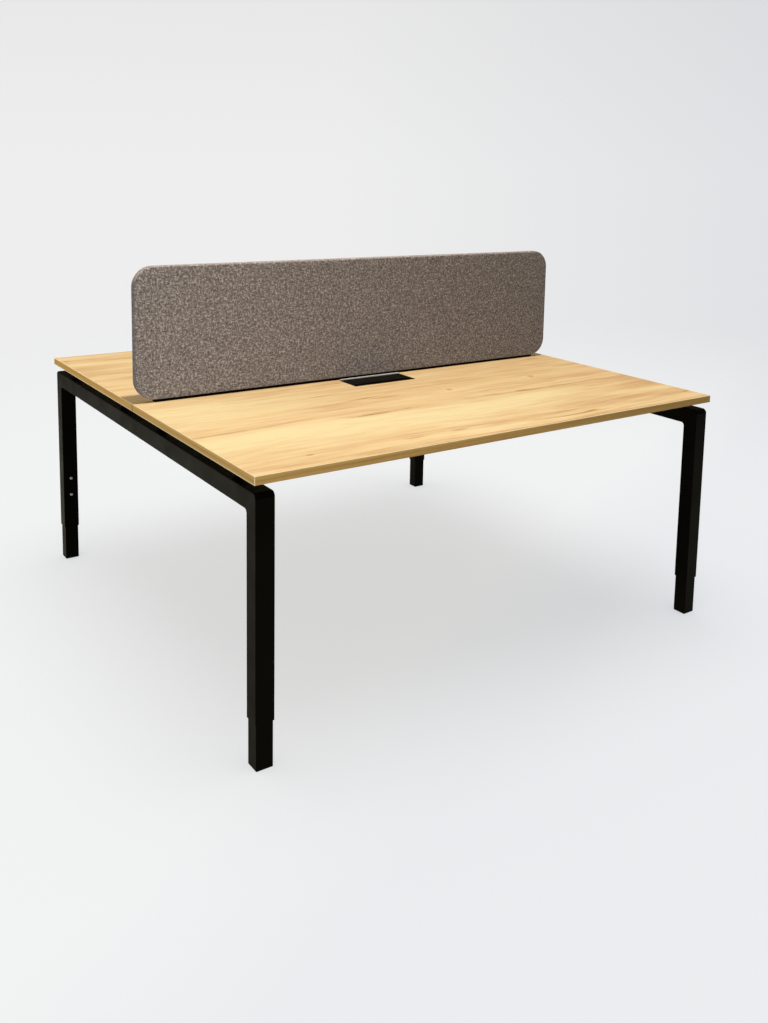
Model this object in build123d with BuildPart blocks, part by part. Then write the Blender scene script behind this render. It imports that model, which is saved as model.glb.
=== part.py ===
from build123d import *
import os

# Benching desk for two: two desktops on a steel frame of two inverted U ends,
# with telescopic legs, a padded screen between the users and a cable port for each.
# Millimetres. Origin on the floor under the middle of the desk, +X along the screen,
# the front user sits on the -Y side, +Z up.

# Desktops
desk_width = 1600.0
desk_depth = 1600.0
desk_height = 730.0
board_thickness = 22.0
edging_thickness = 2.0
edging_round = 0.8
desktop_gap = 6.0

# Welded end frames
frame_inset = 6.0
tube_size = 50.0
tube_wall = 2.0
tube_corner = 3.0
weld_outer_radius = 14.0
weld_inner_radius = 10.0
spacer_height = 23.0
outer_leg_end = 120.0

# Telescopic legs
slide_gap = 0.5
inner_leg_wall = 1.5
inner_leg_corner = 2.5
inner_leg_length = 450.0
foot_height = 8.0
foot_bevel = 1.5
foot_recess = 5.0
plug_height = 25.0
stud_radius = 5.0
stud_length = 45.0
running_clearance = 0.05

# Leg clamps, two on the inner face of each outer leg
clamp_low = 240.0
clamp_pitch = 60.0
clamp_bush_radius = 5.0
clamp_flange_radius = 6.5
clamp_flange = 1.2
clamp_screw_radius = 3.0
clamp_head_radius = 5.2
clamp_head = 3.2
clamp_socket_radius = 2.2
clamp_socket = 1.8
clamp_tip_gap = 0.1
head_taper = 20.0

# Long beams between the end frames
beam_offset = 330.0
beam_width = 30.0
beam_wall = 2.0
beam_corner = 2.5
plate_thickness = 5.0
plate_margin = 32.0
plate_edge = 14.0
plate_height = 44.0
bolt_radius = 4.0
bolt_head_radius = 7.0
bolt_head = 5.0
bolt_grip = 16.0
rivet_nut_radius = 5.5
rivet_nut_collar = 7.0
rivet_nut_length = 14.0

# Desktop fixings: spacer, screw and threaded insert on one axis
spacer_radius = 15.0
rail_spacer_near = 150.0
rail_spacer_from_end = 150.0
beam_spacer_pitch = 500.0
screw_radius = 3.0
screw_head_radius = 6.0
screw_head = 4.0
screw_reach = 10.0
insert_radius = 5.0
insert_depth = 13.0
access_radius = 8.0
hole_clearance = 0.5

# Screen
screen_inset = 7.0
screen_height = 393.0
screen_lift = 8.0
screen_thickness = 30.0
screen_corner = 60.0
screen_edge_round = 5.0
core_thickness = 12.0
core_inset = 8.0
base_strip_inset = 58.0
base_strip_width = 20.0

# Screen brackets, a blade through the gap between the desktops on a foot plate
bracket_from_end = 240.0
blade_width = 60.0
blade_thickness = 4.0
blade_reach = 80.0
blade_fit = 0.2
bracket_plate_length = 80.0
bracket_plate_width = 120.0
bracket_plate = 4.0
bracket_screw_pitch_x = 50.0
bracket_screw_pitch_y = 80.0
wood_screw_radius = 2.2
wood_screw_head_radius = 4.5
wood_screw_head = 3.0
wood_screw_reach = 14.0

# Cable ports, one in each desktop beside the screen
port_length = 232.0
port_width = 100.0
port_set_back = 25.0
port_flange = 4.0
port_flange_thickness = 1.5
port_wall = 2.0
port_below = 22.0
port_fit = 0.3
lid_thickness = 3.0
lid_gap = 0.5
lid_slot = 17.0
lid_ledge = 3.0
lid_ledge_length = 45.0
lid_ledge_thickness = 3.0
lid_barrel_radius = 3.0
lid_edge_round = 0.8
pin_radius = 1.5
pin_end_gap = 0.5
trim_width = 4.0
trim_height = 4.0
trim_set_in = 0.5
trim_round = 1.5

# Heights of the stack, from the desktop down
top_underside = desk_height - board_thickness
rail_top = top_underside - spacer_height
rail_bottom = rail_top - tube_size
rail_middle = rail_top - tube_size / 2

# Plan positions of the frame
frame_half_width = desk_width / 2 - frame_inset
frame_half_depth = desk_depth / 2 - frame_inset
rail_x = frame_half_width - tube_size / 2
rail_inner_x = frame_half_width - tube_size
leg_y = frame_half_depth - tube_size / 2
leg_inner_y = frame_half_depth - tube_size
inner_leg_size = tube_size - 2 * tube_wall - 2 * slide_gap
inner_leg_bore = inner_leg_size - 2 * inner_leg_wall
inner_bore_corner = max(inner_leg_corner - inner_leg_wall, 0.2)

# Desktop outline, measured from the middle of the desk
desktop_depth = (desk_depth - desktop_gap) / 2
desktop_middle = (desk_depth + desktop_gap) / 4

# Port outline
port_middle = port_set_back + port_width / 2
port_cut_length = port_length - 2 * port_flange
port_cut_width = port_width - 2 * port_flange
port_box_length = port_cut_length - 2 * port_fit
port_box_width = port_cut_width - 2 * port_fit
port_inside_length = port_box_length - 2 * port_wall
port_inside_width = port_box_width - 2 * port_wall
port_top = desk_height + port_flange_thickness
lid_length = port_inside_length - 2 * lid_gap
lid_axis_drop = lid_barrel_radius
lid_axis_back = port_inside_width / 2 - lid_gap - lid_barrel_radius
lid_front = -port_inside_width / 2 + lid_slot

ends = {"left": -1, "right": 1}
users = {"front": -1, "rear": 1}
corners = {
    "front_left": (-1, -1),
    "front_right": (1, -1),
    "rear_left": (-1, 1),
    "rear_right": (1, 1),
}

# Where the spacers stand, and with them the screws, the inserts and all their holes
rail_spacer_far = desk_depth / 2 - rail_spacer_from_end
rail_spacer_rows = [-rail_spacer_far, -rail_spacer_near, rail_spacer_near, rail_spacer_far]
beam_spacer_rows = [-beam_spacer_pitch, 0.0, beam_spacer_pitch]


def rail_spacers(side):
    return [(side * rail_x, y) for y in rail_spacer_rows]


def beam_spacers(user):
    return [(x, user * beam_offset) for x in beam_spacer_rows]


def desktop_spacers_of(user):
    on_rails = [place for side in ends.values() for place in rail_spacers(side) if place[1] * user > 0]
    return on_rails + beam_spacers(user)


all_spacers = desktop_spacers_of(-1) + desktop_spacers_of(1)


bracket_offset = desk_width / 2 - bracket_from_end


def bracket_screws_at(side):
    return [
        (side * bracket_offset + dx * bracket_screw_pitch_x / 2, dy * bracket_screw_pitch_y / 2)
        for dx in (-1, 1)
        for dy in (-1, 1)
    ]


all_bracket_screws = bracket_screws_at(-1) + bracket_screws_at(1)


def finish(piece, name):
    piece.part.label = name
    export_step(piece.part, f"parts/{name}.step")


os.makedirs("parts", exist_ok=True)

# Desktops: a board with its port cut-out, insert holes and bracket screw holes
for name, user in users.items():
    with BuildPart() as desktop:
        with BuildSketch(Plane.XY.offset(top_underside)):
            with Locations((0, user * desktop_middle)):
                Rectangle(desk_width - 2 * edging_thickness, desktop_depth - 2 * edging_thickness)
            with Locations((0, user * port_middle)):
                Rectangle(port_cut_length, port_cut_width, mode=Mode.SUBTRACT)
        extrude(amount=board_thickness)
        with BuildSketch(Plane.XY.offset(top_underside)):
            with Locations(*desktop_spacers_of(user)):
                Circle(insert_radius + running_clearance)
        extrude(amount=insert_depth, mode=Mode.SUBTRACT)
        with BuildSketch(Plane.XY.offset(top_underside)):
            with Locations(*[place for place in all_bracket_screws if place[1] * user > 0]):
                Circle(wood_screw_radius + running_clearance)
        extrude(amount=wood_screw_reach, mode=Mode.SUBTRACT)
    finish(desktop, f"desktop_{name}")

# Edging: four strips glued round each board, cut square at the corners
for name, user in users.items():
    with BuildPart() as edging:
        with BuildSketch(Plane.XY.offset(top_underside)):
            with Locations((0, user * desktop_middle)):
                Rectangle(desk_width, desktop_depth)
        extrude(amount=board_thickness)
        fillet(edging.edges(), radius=edging_round)
        with BuildSketch(Plane.XY.offset(top_underside)):
            with Locations((0, user * desktop_middle)):
                Rectangle(desk_width - 2 * edging_thickness, desktop_depth - 2 * edging_thickness)
        extrude(amount=board_thickness, mode=Mode.SUBTRACT)
        for end in (-1, 1):
            joint = user * desktop_middle + end * (desktop_depth / 2 - edging_thickness)
            split(bisect_by=Plane.XZ.offset(-joint), keep=Keep.BOTH)
    finish(edging, f"desktop_{name}_edging")


def end_frame(side):
    """One hollow inverted U before its mitre cuts: a rail along Y with a leg at each end."""
    full_height = rail_top - outer_leg_end
    bore_half = frame_half_depth - tube_wall
    with BuildPart() as u_frame:
        with BuildSketch(Plane.YZ.offset(side * rail_x - tube_size / 2)) as outline:
            with Locations((0, outer_leg_end + full_height / 2)):
                Rectangle(2 * frame_half_depth, full_height)
            with Locations((0, (outer_leg_end + rail_bottom) / 2)):
                Rectangle(2 * leg_inner_y, rail_bottom - outer_leg_end, mode=Mode.SUBTRACT)
            fillet(outline.vertices().group_by(Axis.Y)[-1], radius=weld_outer_radius)
            fillet(outline.vertices().group_by(Axis.Y)[1], radius=weld_inner_radius)
        extrude(amount=tube_size)
        faces_across = u_frame.faces().filter_by(Axis.X)
        long_edges = faces_across.edges().filter_by_position(Axis.Z, outer_leg_end, rail_top, (False, True))
        fillet(long_edges, radius=tube_corner)
        with BuildSketch(Plane.YZ.offset(side * rail_x - tube_size / 2 + tube_wall)) as bore:
            with Locations((0, outer_leg_end + (full_height - tube_wall) / 2)):
                Rectangle(2 * bore_half, full_height - tube_wall)
            with Locations((0, (outer_leg_end + rail_bottom + tube_wall) / 2)):
                Rectangle(
                    2 * (leg_inner_y + tube_wall), rail_bottom + tube_wall - outer_leg_end, mode=Mode.SUBTRACT
                )
            fillet(bore.vertices().group_by(Axis.Y)[-1], radius=weld_outer_radius - tube_wall)
            fillet(bore.vertices().group_by(Axis.Y)[1], radius=weld_inner_radius + tube_wall)
        extrude(amount=tube_size - 2 * tube_wall, mode=Mode.SUBTRACT)
    return u_frame.part


def mitre(user):
    """The cut through the outer and the inner corner of a frame, with its normal towards the rail."""
    return Plane(origin=(0, user * frame_half_depth, rail_top), x_dir=(1, 0, 0), z_dir=(0, -user, 1))


def clamp_planes(side, user):
    """The seats of a leg's two clamp screws, on its inner face, facing the middle of the desk."""
    return [
        Plane(origin=(side * rail_x, user * leg_inner_y, height), x_dir=(1, 0, 0), z_dir=(0, -user, 0))
        for height in (clamp_low, clamp_low + clamp_pitch)
    ]


def bolt_planes(side, user):
    """The seats of a beam's two bolts, on a rail's inner face, facing the middle of the desk."""
    return [
        Plane(
            origin=(side * rail_inner_x, user * beam_offset + step * plate_margin, rail_middle),
            x_dir=(0, 1, 0),
            z_dir=(-side, 0, 0),
        )
        for step in (-1, 1)
    ]


all_clamps = [plane for side, user in corners.values() for plane in clamp_planes(side, user)]
all_bolts = [plane for side, user in corners.values() for plane in bolt_planes(side, user)]
end_frames = {side: end_frame(side) for side in ends.values()}

# Side rails, with screw holes in the top wall, access holes below and rivet nut holes inside
for name, side in ends.items():
    with BuildPart() as side_rail:
        add(end_frames[side])
        split(bisect_by=mitre(-1), keep=Keep.TOP)
        split(bisect_by=mitre(1), keep=Keep.TOP)
        with BuildSketch(Plane.XY.offset(rail_top)):
            with Locations(*rail_spacers(side)):
                Circle(screw_radius + hole_clearance)
        extrude(amount=-tube_wall, mode=Mode.SUBTRACT)
        with BuildSketch(Plane.XY.offset(rail_bottom)):
            with Locations(*rail_spacers(side)):
                Circle(access_radius)
        extrude(amount=tube_wall, mode=Mode.SUBTRACT)
        for plane in bolt_planes(side, -1) + bolt_planes(side, 1):
            with BuildSketch(plane):
                Circle(rivet_nut_radius + running_clearance)
            extrude(amount=-tube_wall, mode=Mode.SUBTRACT)
    finish(side_rail, f"side_rail_{name}")

# Outer legs, mitred to the rails, open below, with two clamp holes
for name, (side, user) in corners.items():
    with BuildPart() as outer_leg:
        add(end_frames[side])
        split(bisect_by=mitre(user), keep=Keep.BOTTOM)
        for plane in clamp_planes(side, user):
            with BuildSketch(plane):
                Circle(clamp_bush_radius + running_clearance)
            extrude(amount=-tube_wall, mode=Mode.SUBTRACT)
    finish(outer_leg, f"outer_leg_{name}")

# Clamp bushes: a threaded collar in the leg's wall
with BuildPart() as clamp_bushes:
    for plane in all_clamps:
        with BuildSketch(plane):
            Circle(clamp_flange_radius)
            Circle(clamp_screw_radius + running_clearance, mode=Mode.SUBTRACT)
        extrude(amount=clamp_flange)
        with BuildSketch(plane):
            Circle(clamp_bush_radius)
            Circle(clamp_screw_radius + running_clearance, mode=Mode.SUBTRACT)
        extrude(amount=-tube_wall)
finish(clamp_bushes, "clamp_bushes")

# Clamp screws: their tips press on the inner legs
with BuildPart() as clamp_screws:
    for plane in all_clamps:
        head_seat = plane.offset(clamp_flange)
        with BuildSketch(head_seat):
            Circle(clamp_head_radius)
        extrude(amount=clamp_head, taper=head_taper)
        with BuildSketch(head_seat):
            Circle(clamp_screw_radius)
        extrude(amount=-(clamp_flange + tube_wall + slide_gap - clamp_tip_gap))
        with BuildSketch(head_seat.offset(clamp_head)):
            RegularPolygon(clamp_socket_radius, 6)
        extrude(amount=-clamp_socket, mode=Mode.SUBTRACT)
finish(clamp_screws, "clamp_screws")

# Telescopic legs, each with its plug, levelling stud and foot
for name, (side, user) in corners.items():
    leg_place = (side * rail_x, user * leg_y)
    with BuildPart() as inner_leg:
        with BuildSketch(Plane.XY.offset(foot_height)):
            with Locations(leg_place):
                RectangleRounded(inner_leg_size, inner_leg_size, inner_leg_corner)
                RectangleRounded(inner_leg_bore, inner_leg_bore, inner_bore_corner, mode=Mode.SUBTRACT)
        extrude(amount=inner_leg_length)
    finish(inner_leg, f"inner_leg_{name}")

    with BuildPart() as leg_plug:
        with BuildSketch(Plane.XY.offset(foot_height)):
            with Locations(leg_place):
                RectangleRounded(inner_leg_bore, inner_leg_bore, inner_bore_corner)
                Circle(stud_radius + running_clearance, mode=Mode.SUBTRACT)
        extrude(amount=plug_height)
    finish(leg_plug, f"leg_plug_{name}")

    with BuildPart() as foot_pad:
        with BuildSketch():
            with Locations(leg_place):
                RectangleRounded(inner_leg_size, inner_leg_size, inner_leg_corner)
        extrude(amount=foot_height)
        chamfer(foot_pad.faces().sort_by(Axis.Z)[0].edges(), length=foot_bevel)
        with BuildSketch(Plane.XY.offset(foot_height)):
            with Locations(leg_place):
                Circle(stud_radius + running_clearance)
        extrude(amount=-foot_recess, mode=Mode.SUBTRACT)
    finish(foot_pad, f"foot_pad_{name}")

    with BuildPart() as foot_stud:
        with BuildSketch(Plane.XY.offset(foot_height - foot_recess)):
            with Locations(leg_place):
                Circle(stud_radius)
        extrude(amount=stud_length)
    finish(foot_stud, f"foot_stud_{name}")

# Long beams under the desktops, on the same level as the rails
beam_half_length = rail_inner_x - plate_thickness
for name, user in users.items():
    beam_place = (user * beam_offset, rail_middle)
    with BuildPart() as long_beam:
        with BuildSketch(Plane.YZ.offset(-beam_half_length)):
            with Locations(beam_place):
                RectangleRounded(beam_width, tube_size, beam_corner)
                Rectangle(beam_width - 2 * beam_wall, tube_size - 2 * beam_wall, mode=Mode.SUBTRACT)
        extrude(amount=2 * beam_half_length)
        with BuildSketch(Plane.XY.offset(rail_top)):
            with Locations(*beam_spacers(user)):
                Circle(screw_radius + hole_clearance)
        extrude(amount=-beam_wall, mode=Mode.SUBTRACT)
        with BuildSketch(Plane.XY.offset(rail_bottom)):
            with Locations(*beam_spacers(user)):
                Circle(access_radius)
        extrude(amount=beam_wall, mode=Mode.SUBTRACT)
    finish(long_beam, f"long_beam_{name}")

# End plates welded to the beams, with the bolts and rivet nuts that hold them to the rails
with BuildPart() as beam_end_plates:
    for side, user in corners.values():
        plate_plane = Plane(
            origin=(side * rail_inner_x, user * beam_offset, rail_middle), x_dir=(0, 1, 0), z_dir=(-side, 0, 0)
        )
        with BuildSketch(plate_plane):
            Rectangle(2 * (plate_margin + plate_edge), plate_height)
            with Locations((-plate_margin, 0), (plate_margin, 0)):
                Circle(bolt_radius + hole_clearance, mode=Mode.SUBTRACT)
        extrude(amount=plate_thickness)
finish(beam_end_plates, "beam_end_plates")

with BuildPart() as beam_bolts:
    for plane in all_bolts:
        head_seat = plane.offset(plate_thickness)
        with BuildSketch(head_seat):
            RegularPolygon(bolt_head_radius, 6)
        extrude(amount=bolt_head)
        with BuildSketch(head_seat):
            Circle(bolt_radius)
        extrude(amount=-bolt_grip)
finish(beam_bolts, "beam_bolts")

with BuildPart() as beam_rivet_nuts:
    for plane in all_bolts:
        with BuildSketch(plane):
            Circle(rivet_nut_radius)
            Circle(bolt_radius + running_clearance, mode=Mode.SUBTRACT)
        extrude(amount=-rivet_nut_length)
        with BuildSketch(plane.offset(-tube_wall)):
            Circle(rivet_nut_collar)
            Circle(rivet_nut_radius, mode=Mode.SUBTRACT)
        extrude(amount=-tube_wall)
finish(beam_rivet_nuts, "beam_rivet_nuts")

# Spacers that float the desktops above the frame, with their screws and inserts
with BuildPart() as desktop_spacers:
    with BuildSketch(Plane.XY.offset(rail_top)):
        with Locations(*all_spacers):
            Circle(spacer_radius)
            Circle(screw_radius + hole_clearance, mode=Mode.SUBTRACT)
    extrude(amount=spacer_height)
finish(desktop_spacers, "desktop_spacers")

screws_on_rails = rail_spacers(-1) + rail_spacers(1)
screws_on_beams = beam_spacers(-1) + beam_spacers(1)
with BuildPart() as desktop_screws:
    for places, wall in ((screws_on_rails, tube_wall), (screws_on_beams, beam_wall)):
        head_seat = Plane.XY.offset(rail_top - wall)
        with BuildSketch(head_seat):
            with Locations(*places):
                Circle(screw_head_radius)
        extrude(amount=-screw_head)
        with BuildSketch(head_seat):
            with Locations(*places):
                Circle(screw_radius)
        extrude(amount=wall + spacer_height + screw_reach)
finish(desktop_screws, "desktop_screws")

with BuildPart() as desktop_inserts:
    with BuildSketch(Plane.XY.offset(top_underside)):
        with Locations(*all_spacers):
            Circle(insert_radius)
            Circle(screw_radius + running_clearance, mode=Mode.SUBTRACT)
    extrude(amount=insert_depth)
finish(desktop_inserts, "desktop_inserts")

# Screen: a stiff core between two padded fabric halves that meet round its edge
screen_width = desk_width - 2 * screen_inset
screen_bottom = desk_height + screen_lift
screen_middle = screen_bottom + screen_height / 2
core_width = screen_width - 2 * core_inset
core_height = screen_height - 2 * core_inset
core_bottom = screen_bottom + core_inset
core_corner = screen_corner - core_inset
blade_top = core_bottom + blade_reach
blade_places = [-bracket_offset, bracket_offset]

with BuildPart() as screen_core:
    with BuildSketch(Plane.XZ.offset(-core_thickness / 2)):
        with Locations((0, screen_middle)):
            RectangleRounded(core_width, core_height, core_corner)
    extrude(amount=core_thickness)
    with BuildSketch(Plane.XY.offset(core_bottom)):
        with Locations(*[(x, 0) for x in blade_places]):
            Rectangle(blade_width + 2 * blade_fit, blade_thickness + 2 * blade_fit)
    extrude(amount=blade_reach, mode=Mode.SUBTRACT)
finish(screen_core, "screen_core")

for name, user in users.items():
    middle_plane = Plane(origin=(0, 0, screen_middle), x_dir=(1, 0, 0), z_dir=(0, user, 0))
    with BuildPart() as screen_pad:
        with BuildSketch(middle_plane):
            RectangleRounded(screen_width, screen_height, screen_corner)
        extrude(amount=screen_thickness / 2)
        outer_face = screen_pad.faces().sort_by(Axis.Y)[0 if user < 0 else -1]
        fillet(outer_face.edges(), radius=screen_edge_round)
        with BuildSketch(middle_plane):
            RectangleRounded(core_width, core_height, core_corner)
        extrude(amount=core_thickness / 2, mode=Mode.SUBTRACT)
        with BuildSketch(Plane.XY.offset(screen_bottom)):
            with Locations(*[(x, 0) for x in blade_places]):
                Rectangle(blade_width + 2 * blade_fit, blade_thickness + 2 * blade_fit)
        extrude(amount=core_inset, mode=Mode.SUBTRACT)
    finish(screen_pad, f"screen_pad_{name}")

# Base strip: fills the slot under the screen and lies across the gap between the desktops
with BuildPart() as screen_base_strip:
    with BuildSketch(Plane.XY.offset(desk_height)):
        Rectangle(screen_width - 2 * base_strip_inset, base_strip_width)
        with Locations(*[(x, 0) for x in blade_places]):
            Rectangle(blade_width + 2 * blade_fit, blade_thickness + 2 * blade_fit, mode=Mode.SUBTRACT)
    extrude(amount=screen_lift)
finish(screen_base_strip, "screen_base_strip")

# Screen brackets: the blade stands in the core's slot and carries the screen on its top edge
for name, side in ends.items():
    with BuildPart() as screen_bracket:
        with BuildSketch(Plane.XY.offset(top_underside)):
            with Locations((side * bracket_offset, 0)):
                Rectangle(bracket_plate_length, bracket_plate_width)
            with Locations(*bracket_screws_at(side)):
                Circle(wood_screw_radius + hole_clearance, mode=Mode.SUBTRACT)
        extrude(amount=-bracket_plate)
        with BuildSketch(Plane.XY.offset(top_underside)):
            with Locations((side * bracket_offset, 0)):
                Rectangle(blade_width, blade_thickness)
        extrude(amount=blade_top - top_underside)
    finish(screen_bracket, f"screen_bracket_{name}")

with BuildPart() as bracket_screws:
    with BuildSketch(Plane.XY.offset(top_underside - bracket_plate)):
        with Locations(*all_bracket_screws):
            Circle(wood_screw_head_radius)
    extrude(amount=-wood_screw_head, taper=head_taper)
    with BuildSketch(Plane.XY.offset(top_underside - bracket_plate)):
        with Locations(*all_bracket_screws):
            Circle(wood_screw_radius)
    extrude(amount=bracket_plate + wood_screw_reach)
finish(bracket_screws, "bracket_screws")

# Cable ports: a flanged frame in the desktop, a lid that swings up at the screen side with its pin,
# and a bright trim bar along the frame behind the lid.
# Each is drawn seen from its own user, with the screen on the far side.
for name, user in users.items():
    port = Plane(origin=(0, user * port_middle, port_top), x_dir=(-user, 0, 0), z_dir=(0, 0, 1))
    box_depth = port_flange_thickness + board_thickness + port_below
    axis_height = -lid_axis_drop
    pin_plane = Plane(
        origin=port.from_local_coords((0, lid_axis_back, axis_height)), x_dir=port.y_dir, z_dir=port.x_dir
    )

    with BuildPart() as port_frame:
        with BuildSketch(port):
            Rectangle(port_length, port_width)
        extrude(amount=-port_flange_thickness)
        with BuildSketch(port):
            Rectangle(port_box_length, port_box_width)
        extrude(amount=-box_depth)
        with BuildSketch(port):
            Rectangle(port_inside_length, port_inside_width)
        extrude(amount=-box_depth, mode=Mode.SUBTRACT)
        with BuildSketch(port.offset(-lid_thickness)):
            ledge_middle = lid_front + lid_ledge_length / 2
            ledge_step = port_inside_length / 2 - lid_ledge / 2
            with Locations((-ledge_step, ledge_middle), (ledge_step, ledge_middle)):
                Rectangle(lid_ledge, lid_ledge_length)
        extrude(amount=-lid_ledge_thickness)
        with BuildSketch(pin_plane.offset(-port_box_length / 2)):
            Circle(pin_radius + running_clearance)
        extrude(amount=port_box_length, mode=Mode.SUBTRACT)
    finish(port_frame, f"port_frame_{name}")

    with BuildPart() as port_lid:
        with BuildSketch(port):
            with Locations((0, (lid_front + lid_axis_back) / 2)):
                Rectangle(lid_length, lid_axis_back - lid_front)
        extrude(amount=-lid_thickness)
        front_face = port_lid.faces().filter_by(Axis.Y).sort_by(Axis.Y)[0 if user < 0 else -1]
        fillet(front_face.edges().filter_by(Axis.X), radius=lid_edge_round)
        with BuildSketch(pin_plane.offset(-lid_length / 2)):
            Circle(lid_barrel_radius)
        extrude(amount=lid_length)
        with BuildSketch(pin_plane.offset(-lid_length / 2)):
            Circle(pin_radius + running_clearance)
        extrude(amount=lid_length, mode=Mode.SUBTRACT)
    finish(port_lid, f"port_lid_{name}")

    with BuildPart() as port_pin:
        with BuildSketch(pin_plane.offset(pin_end_gap - port_box_length / 2)):
            Circle(pin_radius)
        extrude(amount=port_box_length - 2 * pin_end_gap)
    finish(port_pin, f"port_pin_{name}")

    with BuildPart() as port_trim:
        with BuildSketch(port):
            with Locations((0, port_width / 2 - trim_set_in - trim_width / 2)):
                Rectangle(port_length - 2 * trim_set_in, trim_width)
        extrude(amount=trim_height)
        fillet(port_trim.faces().sort_by(Axis.Z)[-1].edges(), radius=trim_round)
    finish(port_trim, f"port_trim_{name}")
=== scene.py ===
# %% [markdown]
# A benching desk for two: two oak tops share one black steel frame, and a padded screen stands between
# the users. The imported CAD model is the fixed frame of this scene, and nothing in it is moved. What is
# made here is the finish of each part, the soft screen, the small fittings that repeat, and the studio.
# Lengths are metres, X runs along the screen, the front user sits on the -Y side, and Z points up.

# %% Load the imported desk
import math

import bpy
import numpy as np
from mathutils import Matrix, Vector


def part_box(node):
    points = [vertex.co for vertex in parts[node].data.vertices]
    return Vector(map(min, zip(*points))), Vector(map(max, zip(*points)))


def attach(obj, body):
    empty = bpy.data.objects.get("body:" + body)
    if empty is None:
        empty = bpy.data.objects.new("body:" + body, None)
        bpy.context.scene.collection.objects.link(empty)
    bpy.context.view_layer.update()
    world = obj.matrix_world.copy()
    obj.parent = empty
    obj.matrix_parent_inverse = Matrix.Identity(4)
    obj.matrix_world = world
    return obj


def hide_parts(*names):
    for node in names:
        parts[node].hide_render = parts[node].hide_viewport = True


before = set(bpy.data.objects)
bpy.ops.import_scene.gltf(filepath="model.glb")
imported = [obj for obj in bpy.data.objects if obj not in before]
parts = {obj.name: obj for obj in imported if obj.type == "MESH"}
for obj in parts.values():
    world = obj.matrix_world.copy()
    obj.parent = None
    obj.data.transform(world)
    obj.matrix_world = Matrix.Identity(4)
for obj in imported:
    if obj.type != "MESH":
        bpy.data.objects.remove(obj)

scene = bpy.context.scene
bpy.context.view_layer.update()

# %% [markdown]
# The camera comes first, so that every later choice can be checked against the picture. Its place and
# turn were solved from the corners of the tops and the feet. The picture is cut from a wider view, so
# the middle of the lens is not the middle of the picture, and the lens shift says by how much.

# %% Camera
picture_width, picture_height = 768, 1023
lens_middle = (433.3, 304.0)
focal_pixels = 990.5
camera_place = Vector((-1.7610, -2.7777, 1.4308))
camera_yaw = 0.63281
camera_pitch = -0.13645
camera_roll = 0.02439
sensor = 36.0

forward = Vector((
    math.sin(camera_yaw) * math.cos(camera_pitch),
    math.cos(camera_yaw) * math.cos(camera_pitch),
    math.sin(camera_pitch),
))
level = Vector((math.cos(camera_yaw), -math.sin(camera_yaw), 0.0))
upright = level.cross(forward)
right = math.cos(camera_roll) * level + math.sin(camera_roll) * upright
up = math.cos(camera_roll) * upright - math.sin(camera_roll) * level

lens = bpy.data.cameras.new("camera")
lens.sensor_width = sensor
lens.lens = focal_pixels * sensor / picture_height
lens.shift_x = (picture_width / 2 - lens_middle[0]) / picture_height
lens.shift_y = (lens_middle[1] - picture_height / 2) / picture_height
camera = bpy.data.objects.new("camera", lens)
turn = Matrix((right, up, -forward)).transposed().to_4x4()
camera.matrix_world = Matrix.Translation(camera_place) @ turn
scene.collection.objects.link(camera)
scene.camera = camera
print("camera lens", round(lens.lens, 2), "mm, shift", round(lens.shift_x, 3), round(lens.shift_y, 3))

# %% [markdown]
# Materials are trees of nodes. A few helpers keep the trees readable: one adds a node and fills its inputs
# with numbers or with links, and the others stand for the small steps that come again and again. Colours
# are written as they look on a screen and turned into the linear light that the shader works in.

# %% Node helpers
def add(tree, kind, values=None, **settings):
    made = tree.nodes.new(kind)
    for name, value in settings.items():
        setattr(made, name, value)
    for name, value in (values or {}).items():
        if isinstance(value, bpy.types.NodeSocket):
            tree.links.new(value, made.inputs[name])
        else:
            made.inputs[name].default_value = value
    return made


def start_material(name):
    material = bpy.data.materials.new(name)
    material.use_nodes = True
    return material, material.node_tree, material.node_tree.nodes["Principled BSDF"]


def seen(red, green, blue):
    def linear(part):
        share = part / 255
        return share / 12.92 if share <= 0.04045 else ((share + 0.055) / 1.055) ** 2.4
    return (linear(red), linear(green), linear(blue), 1.0)


def reckon(tree, operation, first, second=0.0):
    return add(tree, "ShaderNodeMath", {0: first, 1: second}, operation=operation).outputs[0]


def spread(tree, value, low, high, to_low=0.0, to_high=1.0):
    limits = {"Value": value, "From Min": low, "From Max": high, "To Min": to_low, "To Max": to_high}
    return add(tree, "ShaderNodeMapRange", limits).outputs["Result"]


def mixed(tree, share, first, second, blend_type="MIX"):
    values = {0: share, 6: first, 7: second}
    return add(tree, "ShaderNodeMix", values, data_type="RGBA", blend_type=blend_type).outputs[2]


def chosen(tree, share, first, second):
    return add(tree, "ShaderNodeMix", {0: share, 2: first, 3: second}, data_type="FLOAT").outputs[0]


print("helpers for single nodes ready")

# %% Helpers for patterns
def object_place(tree):
    return add(tree, "ShaderNodeTexCoord").outputs["Object"]


def split_place(tree, place):
    axes = add(tree, "ShaderNodeSeparateXYZ", {"Vector": place}).outputs
    return axes["X"], axes["Y"], axes["Z"]


def cloudy(tree, place, stretch, detail=2.0, roughness=0.5, shift=(0.0, 0.0, 0.0)):
    stretched = add(tree, "ShaderNodeMapping", {"Vector": place, "Scale": stretch, "Location": shift})
    values = {"Vector": stretched.outputs["Vector"], "Scale": 1.0, "Detail": detail, "Roughness": roughness}
    return add(tree, "ShaderNodeTexNoise", values).outputs["Fac"]


def toned(tree, value, stops):
    ramp = add(tree, "ShaderNodeValToRGB", {"Fac": value})
    while len(ramp.color_ramp.elements) < len(stops):
        ramp.color_ramp.elements.new(0.5)
    for element, (place, colour) in zip(ramp.color_ramp.elements, stops):
        element.position = place
        element.color = colour
    return ramp.outputs["Color"]


def raise_surface(tree, shader, height, strength, depth):
    made = add(tree, "ShaderNodeBump", {"Height": height, "Strength": strength, "Distance": depth})
    tree.links.new(made.outputs["Normal"], shader.inputs["Normal"])


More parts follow.
